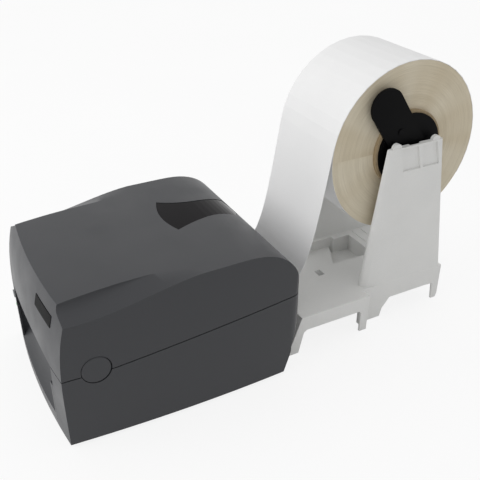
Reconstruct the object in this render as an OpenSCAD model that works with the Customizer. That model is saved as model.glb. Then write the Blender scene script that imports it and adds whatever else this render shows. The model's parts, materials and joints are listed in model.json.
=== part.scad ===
// Desktop thermal label printer with its external label-roll stand.
// X runs across the printer, Y from the front face to the rear, Z up from the table.
// The origin is on the table, at the middle of the whole machine's length and width.

/* [Case] */
// Width across the top edges of the case's sides
case_w = 225; // [218:1:232]
// How much further out each side stands at its foot, at mid length
side_flare = 7; // [3:0.5:9]
// Length of the case, from the front face to the rear
case_len = 287; // [280:1:300]
// Height of the lid's crown above the table
case_h = 171; // [168:0.5:180]
// Wall thickness of the case mouldings
wall = 2.5; // [1.8:0.1:3]
// How far the front face bulges in plan
front_bow = 7; // [3:0.5:9]
// How far the top of the front face leans back
front_lean = 15.5; // [10:0.5:18]
// Height of the parting line between lid and base, at the front
part_z = 88.7; // [86:0.1:92]
// Rise of the parting line from the front to the rear
part_rise = 18.5; // [10:0.5:22]
// Width of the gap at the parting line
part_gap = 1.1; // [0.5:0.1:1.4]
// Height of the rubber feet
foot_h = 4; // [3:0.5:5]

/* [Label exit and front panel] */
// Half the width of the label exit
mouth_half = 82; // [78:0.5:86]
// Height of the lower edge of the label exit
mouth_z = 64; // [62:0.5:68]
// Height of the label exit's upper edge in the middle
mouth_top = 97; // [94:0.5:99]
// Half the width of the removable front panel
panel_half = 78; // [70:0.5:80]
// Clearance round the front panel
panel_gap = 0.5; // [0.3:0.1:0.8]
// Radius of the scoop in the front panel
scoop_r = 45.5; // [44:0.5:46]

/* [Lid] */
// Half the distance between the two upper creases
crease_half = 88.5; // [84:0.5:92]
// Depth of the step below the upper crease at the front lip
crease_step = 7; // [4:0.5:9]
// Height of the lower crease at the front
shoulder_z = 152; // [150:0.5:155]
// Thickness of the lid window
window_t = 2; // [1.5:0.1:2.4]
// Clearance round the lid window
window_gap = 0.3; // [0.2:0.05:0.6]
// Radius of the hinge pins
hinge_pin_r = 2; // [1.5:0.1:2.4]
// Wall of the hinge knuckles
knuckle_wall = 2.2; // [1.8:0.1:2.6]

/* [Release buttons] */
// Radius of a release button
button_r = 15.6; // [12:0.1:16.5]
// Distance of the buttons behind the front face
button_d = 43.8; // [42:0.2:48]
// Height of the button's middle
button_z = 92.8; // [91:0.2:95]
// Clearance round a button
button_gap = 0.6; // [0.4:0.1:1]
// Radius of a button's stem
stem_r = 5; // [4:0.1:5.5]

/* [Print mechanism] */
// Radius of the rubber platen roller
platen_r = 8.5; // [8:0.1:9]
// How much shorter the platen roller is than the labels' width, at each end
platen_short = 1; // [0:0.5:4]
// Radius of the platen shaft
shaft_r = 3; // [2.5:0.1:3.5]
// Distance of the platen's axis behind the front face
platen_d = 32; // [31:0.5:33]
// Height of the platen's axis
platen_z = 78; // [76.5:0.5:79]
// Thickness of the steel side plates
plate_t = 1.5; // [1.2:0.1:2]
// Distance from the labels' edge to a side plate's inner face
plate_margin = 6; // [4:0.5:7]
// Tooth size of the gear train
gear_module = 0.8; // [0.78:0.01:0.8]
// Width of the gears
gear_w = 5; // [4:0.5:6]
// Radial clearance of running shafts
run = 0.05; // [0.03:0.01:0.08]

/* [Label roll] */
// Outer radius of the label roll
roll_r = 105; // [60:0.5:106]
// Width of the label roll and of its web
media_w = 116; // [108:1:116]
// Outer radius of the cardboard core
core_r = 47.8; // [46:0.1:48.5]
// Wall of the cardboard core
core_wall = 3.1; // [2:0.1:4]
// Distance of the roll's axis behind the front face
roll_d = 459.8; // [455:0.2:464]
// Height of the roll's axis
roll_z = 229.5; // [226:0.5:232]
// Thickness of the label web
web_t = 0.5; // [0.4:0.05:0.7]
// Clearance between web and roll
web_gap = 0.3; // [0.3:0.05:0.5]

/* [Roll stand] */
// Distance from the labels' edge to the outer face of the stand's rear part
stand_margin = 20; // [18:0.5:22]
// How far each side of the stand steps in behind its front part
stand_step = 14.4; // [13:0.2:17]
// Height of the stand's platform
stand_z = 52; // [50:0.5:54]
// Wall thickness of the stand mouldings
stand_wall = 3; // [2.4:0.1:3.2]
// Height of the uprights' tips
upright_z = 245.5; // [244:0.5:248]
// Radius of the roll's spindle
spindle_r = 8; // [7:0.1:9]

/* [Hidden] */

$fn = 64;
eps = 0.01;                    // cuts run past a face by this much
far = 400;                     // longer than anything that a cut has to clear

platen_half = media_w / 2 - platen_short;
plate_half = media_w / 2 + plate_margin;
stand_inner_half = media_w / 2 + stand_margin;
stand_half = stand_inner_half + stand_step;
roll_outer = roll_r + web_gap + web_t;
total_len = roll_d + roll_outer;
front_y = -total_len / 2;      // the front face's foremost point

rear_axis_d = case_len - 78.6; // where the rear curve starts
rear_axis_z = 95;              // height of the rear's furthest point
rear_bulge = 2.6;              // exponent of the rear curve: 2 is an ellipse
undercut = 24;                 // how far the rear's foot lies in front of its bulge
top_bow = 2;                   // how far the sides bulge in plan at their top edge
corner_r = 14;                 // rear corners in plan
crown_drop = 6.2;              // fall of the crown towards the front lip
crown_flat_d = 110;            // the crown is level behind this
lean_from_z = 30;              // the front face is upright below this
lip_z = case_h - 4;            // height of the front lip
bow_r = (pow(case_w / 2, 2) + pow(front_bow, 2)) / (2 * front_bow);
part_break_d = 62.5;           // the parting line is level in front of this
mouth_end_z = 89.5;            // upper edge of the label exit at its ends
panel_z0 = 13;                 // lower edge of the front panel

case_grey = [0.29, 0.295, 0.305];
black = [0.07, 0.07, 0.075];
stand_white = [0.86, 0.86, 0.85];
steel = [0.72, 0.72, 0.74];
paper = [0.93, 0.93, 0.92];

// ---------- shared shapes ----------

function at(d) = front_y + d;
function smooth(t) = t <= 0 ? 0 : t >= 1 ? 1 : t * t * (3 - 2 * t);
function mix(a, b, t) = a + (b - a) * t;
function arc(c, r, a0, a1, n) = [for (i = [0:n]) let (a = mix(a0, a1, i / n)) c + r * [cos(a), sin(a)]];
// Points from p up to just before q along a shallow curve that stands sag proud to the right of the way
function bowed(p, q, sag, n) = let (v = q - p, side = [v[1], -v[0]] / norm(v))
    [for (i = [0:n - 1]) let (t = i / n) p + v * t + side * 4 * sag * t * (1 - t)];
function bezier(p, t) = pow(1 - t, 3) * p[0] + 3 * pow(1 - t, 2) * t * p[1]
    + 3 * (1 - t) * t * t * p[2] + pow(t, 3) * p[3];

// A flat outline in Y and Z, given thickness from x0 to x1
module along_x(x0, x1) translate([x0, 0, 0]) rotate([90, 0, 90]) linear_extrude(x1 - x0) children();
// A flat outline in X and Z, given thickness from y0 to y1
module along_y(y0, y1) translate([0, y1, 0]) rotate([90, 0, 0]) linear_extrude(y1 - y0) children();
module block(x, y, z) translate([x[0], y[0], z[0]]) cube([x[1] - x[0], y[1] - y[0], z[1] - z[0]]);
module rod_x(x0, x1, d, z, r) translate([x0, at(d), z]) rotate([0, 90, 0]) cylinder(h = x1 - x0, r = r);
module both_sides() { children(); mirror([1, 0, 0]) children(); }
module post(x, d, z0, z1, r) translate([x, at(d), z0]) cylinder(h = z1 - z0, r = r);
module ring_x(x0, x1, d, z, r_out, r_in) difference() {
    rod_x(x0, x1, d, z, r_out);
    rod_x(x0 - 1, x1 + 1, d, z, r_in);
}

// ---------- the case's outer form, moved inwards by inset ----------

function side_top_x(d) = case_w / 2 - top_bow * pow((d - case_len / 2) / (case_len / 2), 2);
function side_foot_x(d) = case_w / 2 + side_flare - 0.2 - side_flare * pow((d / case_len - 0.6) / 0.575, 2);
function side_x(d, z) = mix(side_foot_x(d), side_top_x(d), (z - foot_h) / (case_h - foot_h));
function crown_z(d) = case_h - crown_drop * pow(max(0, crown_flat_d - d) / 100, 2);
function lean(z) = front_lean * pow(max(0, z - lean_from_z) / (lip_z - lean_from_z), 3.6);
// Distance of the front face behind its foremost point, at x and z
function front_d(x, z) = bow_r - sqrt(pow(bow_r, 2) - pow(x, 2)) + lean(z);
function parting(d) = part_z + part_rise * max(0, d - part_break_d) / (case_len - part_break_d);

module case_plan(inset) {
    back = case_len - inset;
    r = corner_r - inset;
    // the corner follows the sides' flare, so it is left open as far as the side cuts reach
    corner = arc([side_x(back - r, rear_axis_z) - inset - r, at(back - r)], r, 0, 90, 6);
    right = concat([[case_w, at(-20)], [case_w, at(back - r - 6)]], corner);
    left = [for (i = [len(right) - 1:-1:0]) [-right[i][0], right[i][1]]];
    linear_extrude(far) polygon(concat(right, left));
}

module case_profile(inset) {
    floor_z = foot_h + inset;
    reach = case_len - rear_axis_d - inset;
    rise = case_h - rear_axis_z - inset;
    crown = [for (d = [-20, 5, 30, 55, 80, crown_flat_d]) [at(d), crown_z(d) - inset]];
    rear = [for (i = [0:18]) let (a = 90 - 5 * i)
        [at(rear_axis_d + reach * pow(cos(a), 2 / rear_bulge)),
            rear_axis_z + rise * pow(sin(a), 2 / rear_bulge)]];
    foot = [for (i = [1:5]) let (t = i / 5)
        [at(case_len - inset - undercut * pow(t, 1.55)), mix(rear_axis_z, floor_z, t)]];
    along_x(-far / 2, far / 2) polygon(concat([[at(-20), floor_z]], crown, rear, foot));
}

module case_front(inset) {
    top = case_h + 5;
    face = [for (z = [0, each [50:10:case_h], top]) [bow_r - lean(z) - inset, z]];
    translate([0, front_y + bow_r, 0])
        rotate_extrude($fn = 360) polygon(concat([[0, 0]], face, [[0, top]]));
}

// A solid through a row of sections, all seen from the front the same way round. The faces along the
// first edges, as many as bent, need not be flat.
module ruled(sections, bent) {
    n = len(sections[0]);
    last = n * (len(sections) - 1);
    sides = [for (i = [0:n:last - n]) each concat(
        [for (k = [0:bent - 1]) each [[i + k, i + k + 1, i + k + 1 + n], [i + k, i + k + 1 + n, i + k + n]]],
        [for (k = [bent:n - 1]) let (next = (k + 1) % n) [i + k, i + next, i + next + n, i + k + n]])];
    polyhedron([for (section = sections) each section],
        concat(sides, [[for (k = [n - 1:-1:0]) k], [for (k = [0:n - 1]) last + k]]));
}

// The hollowed flank beside the lid's crown: everything above a surface ruled between its two creases,
// with a fillet where the step below the upper crease meets it
module flank_cut(inset) {
    low = lip_z - crease_step - inset;
    level = case_h + 0.4 - inset;
    in_x = crease_half - inset;
    out_x = case_w / 2 + 4;
    strips = 4;
    function inner_z(d) = mix(low, level, smooth((d - 17) / 110));
    function edge_z(d) = mix(shoulder_z - inset, level, smooth((d - 30) / 148));
    function slope(d) = (edge_z(d) - inner_z(d)) / (case_w / 2 - crease_half);
    function fillet(d) = mix(crease_step, 1, smooth((d - 17) / 110));
    // a point on the fillet, from the step's wall (t = 0) to the flank (t = 1)
    function hollow(d, t) = let (f = fillet(d))
        [in_x + f * t * t, at(d), inner_z(d) + f * pow(1 - t, 2) + slope(d) * f * t * t];
    function flank(d, x) = [x, at(d), inner_z(d) + slope(d) * (x - in_x)];
    ruled([for (d = [-20, 0, each [6:8:174], 182]) concat([for (i = [0:strips]) hollow(d, i / strips)],
        [flank(d, out_x - 10), flank(d, out_x)],
        [[out_x, at(d), case_h + 30], [in_x, at(d), case_h + 30]])], strips + 2);
}

// Everything outside a side wall, which bows in plan and flares towards its foot
module side_cut(inset) ruled([for (d = [-20, each [0:18:case_len - 10], case_len + 10])
    [[side_x(d, case_h + 20) - inset, at(d), case_h + 20], [side_x(d, -10) - inset, at(d), -10],
    [case_w, at(d), -10], [case_w, at(d), case_h + 20]]], 1);

module case_form(inset = 0) {
    difference() {
        intersection() {
            case_plan(inset);
            case_profile(inset);
            case_front(inset);
        }
        both_sides() {
            flank_cut(inset);
            side_cut(inset);
        }
    }
}

module below_parting() along_x(-far, far) polygon([[at(-30), -10], [at(-30), part_z - part_gap / 2],
    [at(part_break_d), part_z - part_gap / 2], [at(case_len + 30), parting(case_len + 30) - part_gap / 2],
    [at(case_len + 30), -10]]);
module above_parting() along_x(-far, far) polygon([[at(-30), far], [at(-30), part_z + part_gap / 2],
    [at(part_break_d), part_z + part_gap / 2], [at(case_len + 30), parting(case_len + 30) + part_gap / 2],
    [at(case_len + 30), far]]);

module mouth_outline() polygon(concat([[-mouth_half, mouth_z], [mouth_half, mouth_z]],
    bowed([mouth_half, mouth_end_z], [-mouth_half, mouth_end_z], mouth_top - mouth_end_z, 12),
    [[-mouth_half, mouth_end_z]]));
module mouth_cut() along_y(at(-10), at(tear_d)) mouth_outline();

// ---------- places inside the case ----------

tear_d = 14.5;                                  // front face of the tear bar
floor_top = foot_h + wall;
deck_z = 60;                                    // underside of the media deck
deck_t = 2.5;
deck_top = deck_z + deck_t;
deck_d0 = 95;
deck_d1 = case_len - 14;
post_r = 5;
post_x = case_w / 2 - 14.5;
post_places = [for (d = [deck_d0 + 17, deck_d1 - 23]) each [[-post_x, d], [post_x, d]]];
screw_r = 1.5;
foot_x = case_w / 2 - 20.5;
foot_places = [for (d = [28, case_len - 42]) each [[-foot_x, d], [foot_x, d]]];
foot_r = 8;
bracket_x = case_w / 2 - 20.5;                  // inner face of a release button's bracket
bracket_t = 3;
button_out = 0.4;                               // how far a button stands proud of the side
button_face_x = side_x(button_d, button_z) + button_out;
button_t = 3;
button_travel = 4;
stem_in_x = bracket_x - 2.6;                    // inner end of a button's stem
hinge_d = case_len + 1.6;
hinge_z = parting(case_len);
knuckle_r = hinge_pin_r + knuckle_wall;
ear_x = [[56, 61], [75, 80]];                   // the base's ears on each hinge pin
knuckle_x = [61.3, 74.7];                       // the lid's knuckle between them
key_x = 17.5 - case_w / 2;                      // feed key and status lens
key_z = 70;
key_r = 5;
key_stem_r = 2;
lens_z = 54;
lens_r = 2;
slot_half = media_w / 2 + 2;                    // rear slot for the label web
slot_z = [63, 76];
port_d = case_len - 31;                         // rear plate that carries the sockets
port_half = 72;
port_t = 1.5;
port_top = 52;
usb_x = [-34, -22];
network_x = [-8, 8];
inlet_x = 36;
inlet_r = 5;
rocker_x = 58;
rocker_z = 30;
rocker_half = [6, 9.5];
board_d0 = 97;
board_z = 12;
board_t = 1.6;

module button_bore(r) both_sides() rod_x(bracket_x + bracket_t + 5, far, button_d, button_z, r);
module hinge_notch(x) both_sides() rod_x(x[0] - 0.4, x[1] + 0.4, hinge_d, hinge_z, knuckle_r + 0.5);
module knuckle(x, tongue_z) {
    rod_x(x[0], x[1], hinge_d, hinge_z, knuckle_r);
    block(x, [at(case_len - wall), at(hinge_d)], tongue_z);
}

module base_walls() {
    difference() {
        intersection() { case_form(); below_parting(); }
        case_form(wall);
        mouth_cut();
        block([-panel_half - panel_gap, panel_half + panel_gap], [at(-10), at(22)],
            [panel_z0 - panel_gap, mouth_z + 1]);
        button_bore(button_r + button_gap);
        hinge_notch(knuckle_x);
        block([-slot_half, slot_half], [at(case_len - 30), at(case_len + 10)], slot_z);
        block([-port_half + 4, port_half - 4], [at(port_d + 2), at(case_len + 10)], [14, port_top - 4]);
        pin_y(key_x, key_z, -10, 12, key_r + 0.4);
        pin_y(key_x, lens_z, -10, 12, lens_r);
    }
}

// A wall from the floor beside each release button, with the bore that guides its stem
module button_bracket() difference() {
    union() {
        block([bracket_x, bracket_x + bracket_t], [at(button_d - 12), at(button_d + 12)], [floor_top, 86]);
        block([bracket_x, bracket_x + bracket_t], [at(button_d - 8), at(button_d + 8)], [86 - eps, button_z]);
        rod_x(bracket_x, bracket_x + bracket_t, button_d, button_z, 8);
    }
    rod_x(bracket_x - 1, bracket_x + bracket_t + 1, button_d, button_z, stem_r + run);
}

// A wall that guides the feed key's stem
module key_bracket() difference() {
    block([key_x - 6, key_x + 6], [at(13), at(16)], [floor_top - eps, key_z + 6]);
    pin_y(key_x, key_z, 10, 20, key_stem_r + run);
}

module latch_ears() for (d = [button_d - 9, button_d + 6])
    difference() {
        block([bracket_x - 9, bracket_x], [at(d), at(d + 3)], [floor_top, latch_z + 5]);
        translate([latch_x, at(d - 1), latch_z]) rotate([-90, 0, 0]) cylinder(h = 5, r = latch_pin_r);
    }

module base_shell() color(case_grey) difference() {
    union() {
        base_walls();
        intersection() {
            union() {
                both_sides() {
                    block([mouth_half, mouth_half + wall], [at(0), at(26)], [panel_z0, far]);
                    // snap seats for the front panel
                    block([panel_half, mouth_half + eps], [at(9), at(17)], [24, 44]);
                }
                key_bracket();
                for (p = post_places) post(p[0], p[1], floor_top - eps, deck_z, post_r);
                for (x = [-62, 62]) for (d = [board_d0 + 6, port_d - 31])
                    post(x, d, floor_top - eps, board_z, 4);
                both_sides() {
                    button_bracket();
                    latch_ears();
                }
            }
            case_form(wall - eps);
            below_parting_or_bracket();
        }
        both_sides() for (x = ear_x) knuckle(x, [hinge_z - 12, hinge_z]);
    }
    for (p = post_places) post(p[0], p[1], 20, deck_z + 1, screw_r);
    both_sides() rod_x(ear_x[0][0] - 1, ear_x[1][1] + 1, hinge_d, hinge_z, hinge_pin_r);
    for (p = foot_places) post(p[0], p[1], 0, floor_top + 1, screw_r);
}
// The button brackets reach past the parting line, everything else in the base stays below it
module below_parting_or_bracket() {
    below_parting();
    both_sides() block([bracket_x - 10, bracket_x + bracket_t], [at(20), at(70)], [0, 120]);
}

module rubber_feet() color(black) for (p = foot_places) {
    post(p[0], p[1], 0, foot_h, foot_r);
    post(p[0], p[1], foot_h - eps, floor_top + 0.5, screw_r - 0.1);
}

module inner_deck() color([0.2, 0.2, 0.21]) difference() {
    union() {
        intersection() {
            block([-case_w, case_w], [at(deck_d0), at(deck_d1)], [deck_z, deck_top]);
            case_form(wall + 0.3);
        }
        translate([0, at(pinion_d), deck_top - eps]) cylinder(h = rack_h + 1, r = stud_r);
        // ledge that lifts the web over the rear edge
        block([-slot_half, slot_half], [at(deck_d1 - 12), at(deck_d1 - 8)], [deck_top - eps, deck_top + 3]);
    }
    for (p = post_places) post(p[0], p[1], deck_z - 1, deck_top + 1, screw_r + 0.4);
    both_sides() translate([post_x, at(pinion_d + 10), deck_z - 1]) cylinder(h = 10, r = 6);
}

module case_screws() color(steel) for (p = post_places) {
    post(p[0], p[1], 30, deck_top + eps, screw_r - 0.1);
    difference() {
        post(p[0], p[1], deck_top, deck_top + 2, 3);
        block([p[0] - 0.4, p[0] + 0.4], [at(p[1] - 2), at(p[1] + 2)], [deck_top + 1, deck_top + 3]);
    }
}

// A round pin along Y from d0 to d1
module pin_y(x, z, d0, d1, r) translate([x, at(d0), z]) rotate([-90, 0, 0]) cylinder(h = d1 - d0, r = r);
module status_lens() color([0.2, 0.75, 0.3]) pin_y(key_x, lens_z, front_d(key_x, lens_z) - 0.4, 12, lens_r);
module feed_key() color([0.45, 0.46, 0.47]) {
    face_d = front_d(key_x, key_z) - 1.2;
    pin_y(key_x, key_z, face_d, face_d + 5, key_r);
    pin_y(key_x, key_z, face_d + 5 - eps, 17.5, key_stem_r);
}

module front_panel() color(case_grey) difference() {
    intersection() {
        case_form();
        block([-panel_half, panel_half], [at(-10), at(22)], [panel_z0, mouth_z]);
        union() {
            difference() {
                case_front(0);
                case_front(wall);
            }
            ring_x(-panel_half, panel_half, scoop_d, scoop_z, scoop_r + wall, scoop_r);
            both_sides() block([panel_half - wall, panel_half], [at(-10), at(19)], [panel_z0, mouth_z]);
        }
    }
    rod_x(-panel_half + 4, panel_half - 4, scoop_d, scoop_z, scoop_r);
}
scoop_d = -28;
scoop_z = 53;

module tear_bar() color(steel) {
    teeth = 48;
    half = plate_half - 2;
    pitch = 2 * half / teeth;
    low = 74;
    high = platen_z + platen_r - 1.6;
    along_y(at(tear_d), at(tear_d + 1)) polygon(concat([[half, low], [-half, low], [-half, high]],
        [for (i = [0:teeth - 1]) each [[-half + pitch * (i + 0.5), high + 1.2],
            [-half + pitch * (i + 1), high]]]));
}

module exit_frame() color([0.16, 0.16, 0.165]) {
    block([-plate_half, plate_half], [at(tear_d + 1), at(tear_d + 5)], [mouth_z + 1, platen_z + 6]);
    both_sides() block([plate_half, mouth_half], [at(tear_d + 1), at(tear_d + 3)], [mouth_z + 1, part_z - 2]);
}

module side_plates() color(steel) both_sides() difference() {
    along_x(plate_half, plate_half + plate_t) polygon([[at(22), floor_top], [at(92), floor_top], [at(92), 64],
        [at(64), 72], [at(46), 90], [at(24), 90], [at(22), 84]]);
    rod_x(plate_half - 1, plate_half + 4, platen_d, platen_z, shaft_r + bush_wall);
    rod_x(plate_half - 1, plate_half + 4, idler_d, idler_z, stud_r);
    rod_x(plate_half - 1, plate_half + 4, pinion_gear_d, pinion_gear_z, 8);
    rod_x(plate_half - 1, plate_half + 4, rail_d, rail_z, rail_r);
}

// ---------- gears: each tooth is a trapezoid, narrower than its gap ----------

module gear(teeth, phase, bore, w) difference() {
    pitch_r = gear_module * teeth / 2;
    step = 360 / teeth;
    root_r = pitch_r - 1.15 * gear_module;
    tip_r = pitch_r + 0.85 * gear_module;
    corners = [[root_r, -0.27], [tip_r, -0.11], [tip_r, 0.11], [root_r, 0.27]];
    linear_extrude(w) polygon([for (i = [0:teeth - 1]) each [for (corner = corners)
        let (a = phase + step * (i + corner[1])) corner[0] * [cos(a), sin(a)]]]);
    translate([0, 0, -1]) cylinder(h = w + 2, r = bore);
}
// A gear on an axis along X. Its phase is measured from +Y towards +Z.
module gear_x(x0, d, z, teeth, phase, bore)
    translate([x0, at(d), z]) rotate([90, 0, 90]) gear(teeth, phase, bore, gear_w);

platen_teeth = 24;
idler_teeth = 40;
pinion_teeth = 12;
ribbon_idler_teeth = 68;
takeup_teeth = 32;
function mesh_distance(a, b) = gear_module * (a + b) / 2;
idler_angle = -74;
pinion_angle = -50;
ribbon_angle = 70;
takeup_angle = 35;
idler_d = platen_d + mesh_distance(platen_teeth, idler_teeth) * cos(idler_angle);
idler_z = platen_z + mesh_distance(platen_teeth, idler_teeth) * sin(idler_angle);
pinion_gear_d = idler_d + mesh_distance(idler_teeth, pinion_teeth) * cos(pinion_angle);
pinion_gear_z = idler_z + mesh_distance(idler_teeth, pinion_teeth) * sin(pinion_angle);
head_d = platen_d + mesh_distance(platen_teeth, ribbon_idler_teeth) * cos(ribbon_angle);
head_z = platen_z + mesh_distance(platen_teeth, ribbon_idler_teeth) * sin(ribbon_angle);
takeup_d = head_d + mesh_distance(ribbon_idler_teeth, takeup_teeth) * cos(takeup_angle);
takeup_z = head_z + mesh_distance(ribbon_idler_teeth, takeup_teeth) * sin(takeup_angle);
supply_d = takeup_d + 62;
supply_z = takeup_z + 1;
// A driven gear turns its gap, not its tooth, towards the gear that drives it
function facing(angle, teeth) = angle + 180 + 180 / teeth;
platen_phase = idler_angle;
idler_phase = facing(idler_angle, idler_teeth);
pinion_phase = facing(pinion_angle + nearest_tooth(idler_phase, pinion_angle, idler_teeth), pinion_teeth)
    - nearest_tooth(idler_phase, pinion_angle, idler_teeth) * (1 + idler_teeth / pinion_teeth);
// How far a gear's nearest tooth lies past the direction of the next gear
function nearest_tooth(phase, angle, teeth) = let (step = 360 / teeth, k = round((angle - phase) / step))
    phase + k * step - angle;
ribbon_idler_phase = facing(ribbon_angle, ribbon_idler_teeth)
    - nearest_tooth(platen_phase, ribbon_angle, platen_teeth) * platen_teeth / ribbon_idler_teeth;
takeup_phase = facing(takeup_angle, takeup_teeth)
    - nearest_tooth(ribbon_idler_phase, takeup_angle, ribbon_idler_teeth) * ribbon_idler_teeth / takeup_teeth;
gear_x0 = -plate_half - plate_t - 4 - gear_w;
stud_r = 2;
bush_wall = 1.8;
bush_len = 5;

module platen_roller() color([0.12, 0.12, 0.12])
    ring_x(-platen_half, platen_half, platen_d, platen_z, platen_r, shaft_r);
module platen_shaft() color(steel) {
    rod_x(gear_x0 - 1, plate_half + bush_len + 1, platen_d, platen_z, shaft_r);
}
module platen_gear() color([0.9, 0.9, 0.86])
    gear_x(gear_x0, platen_d, platen_z, platen_teeth, platen_phase, shaft_r);
module platen_bushes() color([0.72, 0.6, 0.35]) for (side = [-1, 1]) {
    inner = plate_half - 1.5;
    x0 = side > 0 ? inner : -inner - bush_len;
    ring_x(x0, x0 + bush_len, platen_d, platen_z, shaft_r + bush_wall, shaft_r + run);
    flange = side > 0 ? inner : -inner - 1.5;
    ring_x(flange, flange + 1.5, platen_d, platen_z, shaft_r + bush_wall + 1.5, shaft_r + run);
}
module gear_stud() color(steel)
    rod_x(gear_x0 - 0.5, -plate_half, idler_d, idler_z, stud_r);
module idler_gear() color([0.9, 0.9, 0.86])
    gear_x(gear_x0, idler_d, idler_z, idler_teeth, idler_phase, stud_r + run);
module motor_pinion() color([0.8, 0.68, 0.4]) {
    gear_x(gear_x0, pinion_gear_d, pinion_gear_z, pinion_teeth, pinion_phase, motor_shaft_r);
    rod_x(gear_x0, motor_x1 - 6, pinion_gear_d, pinion_gear_z, motor_shaft_r);
}
motor_half = 20;
motor_x0 = -plate_half;
motor_x1 = motor_x0 + 34;
motor_shaft_r = 2.2;
module stepper_motor() color([0.5, 0.5, 0.52]) difference() {
    union() {
        block([motor_x0, motor_x1], [at(pinion_gear_d - motor_half), at(pinion_gear_d + motor_half)],
            [pinion_gear_z - motor_half, pinion_gear_z + motor_half]);
        rod_x(motor_x0 - plate_t, motor_x0, pinion_gear_d, pinion_gear_z, 8);
    }
    rod_x(motor_x0 - 4, motor_x1 - 5, pinion_gear_d, pinion_gear_z, motor_shaft_r + run);
    for (a = [-1, 1]) for (b = [-1, 1]) rod_x(motor_x0 - 1, motor_x0 + 4,
        pinion_gear_d + a * 15.5, pinion_gear_z + b * 15.5, screw_r);
}

// ---------- label sensor on its rail ----------

rail_d = 80;
rail_z = 58;
rail_r = 2;
module sensor_rail() color(steel)
    rod_x(-plate_half - plate_t, plate_half + plate_t, rail_d, rail_z, rail_r);
module label_sensor() color(black) difference() {
    block([-7, 7], [at(rail_d - 5), at(rail_d + 5)], [rail_z - 5, rail_z + 8]);
    rod_x(-8, 8, rail_d, rail_z, rail_r + run);
    block([-2, 2], [at(rail_d - 2), at(rail_d + 2)], [rail_z + 6, rail_z + 9]);
}

// ---------- electronics ----------

module main_board() color([0.08, 0.32, 0.2]) {
    block([-66, 66], [at(board_d0), at(port_d - 2)], [board_z, board_z + board_t]);
    for (chip = [[-30, 130, 16], [10, 140, 22], [35, 190, 12], [-40, 190, 14]]) {
        half = chip[2] / 2;
        block([chip[0] - half, chip[0] + half], [at(chip[1] - half), at(chip[1] + half)],
            [board_z + board_t - eps, board_z + board_t + 2]);
    }
    for (can = [[50, 120], [50, 135], [-50, 150]])
        post(can[0], can[1], board_z + board_t - eps, board_z + 16, 5);
}
port_z0 = board_z + board_t;
module port_plate() color(steel) difference() {
    block([-port_half, port_half], [at(port_d), at(port_d + port_t)], [floor_top, port_top]);
    block([usb_x[0] - 0.2, usb_x[1] + 0.2], [at(port_d - 1), at(port_d + 3)], [port_z0 - 0.2, port_z0 + 11.2]);
    block([network_x[0] - 0.2, network_x[1] + 0.2], [at(port_d - 1), at(port_d + 3)],
        [port_z0 - 0.2, port_z0 + 13.7]);
    translate([inlet_x, at(port_d + 3), port_z0 + 7]) rotate([90, 0, 0]) cylinder(h = 6, r = inlet_r + 0.1);
    rocker_space(port_d - 1);
}
module socket(x, h, mouth_x, mouth_z) difference() {
    block(x, [at(port_d - 14), at(port_d + 3)], [port_z0, port_z0 + h]);
    block(mouth_x, [at(port_d - 8), at(port_d + 4)], mouth_z);
}
module usb_port() color([0.75, 0.75, 0.77])
    socket(usb_x, 11, [usb_x[0] + 1.6, usb_x[1] - 1.6], [port_z0 + 1.4, port_z0 + 9.6]);
module network_port() color([0.75, 0.75, 0.77])
    socket(network_x, 13.5, [network_x[0] + 2, network_x[1] - 2], [port_z0 + 2, port_z0 + 10.5]);
module dc_inlet() color(black) {
    difference() {
        union() {
            translate([inlet_x, at(port_d + 3), port_z0 + 7]) rotate([90, 0, 0]) cylinder(h = 6, r = inlet_r);
            block([inlet_x - 6, inlet_x + 6], [at(port_d - 14), at(port_d - 1)], [port_z0, port_z0 + 13]);
        }
        translate([inlet_x, at(port_d + 4), port_z0 + 7]) rotate([90, 0, 0]) cylinder(h = 11, r = 3);
    }
    translate([inlet_x, at(port_d + 2), port_z0 + 7]) rotate([90, 0, 0]) cylinder(h = 10, r = 1);
}
rocker_tilt = 7;
rocker_axis_d = port_d - 2.5;
rocker_pin_r = 1.5;
module rocker_space(from_d) block([rocker_x - rocker_half[0] - 0.4, rocker_x + rocker_half[0] + 0.4],
    [at(from_d), at(port_d + 3)], [rocker_z - rocker_half[1] - 1, rocker_z + rocker_half[1] + 1]);
module rocker_housing() color(black) difference() {
    block([rocker_x - rocker_half[0] - 3.4, rocker_x + rocker_half[0] + 3.4], [at(port_d - 15), at(port_d)],
        [rocker_z - rocker_half[1] - 3, rocker_z + rocker_half[1] + 3]);
    rocker_space(port_d - 9);
    rod_x(rocker_x - rocker_half[0] - 3, rocker_x + rocker_half[0] + 3, rocker_axis_d, rocker_z,
        rocker_pin_r + run);
}
module power_rocker() color([0.75, 0.08, 0.06])
    translate([rocker_x, at(rocker_axis_d), rocker_z]) rotate([rocker_tilt, 0, 0]) {
        along = rocker_half[0];
        tall = rocker_half[1];
        difference() {
            translate([-along, -2, -tall]) cube([2 * along, 8, 2 * tall]);
            translate([-along - 1, 24, 0]) rotate([0, 90, 0]) cylinder(h = 2 * along + 2, r = 19.2);
        }
        translate([-along - 2.8, 0, 0]) rotate([0, 90, 0]) cylinder(h = 2 * along + 5.6, r = rocker_pin_r);
    }

// ---------- media guides: two racks on one pinion ----------

pinion_d = 170;
pinion_pitch_r = 8;
guide_teeth = 16;
rack_module = 2 * pinion_pitch_r / guide_teeth;
rack_pitch = PI * rack_module;
rack_h = 3;
guide_face = media_w / 2 + 0.6;
guide_travel = 46;
rack_gap = 0.3;
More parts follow.
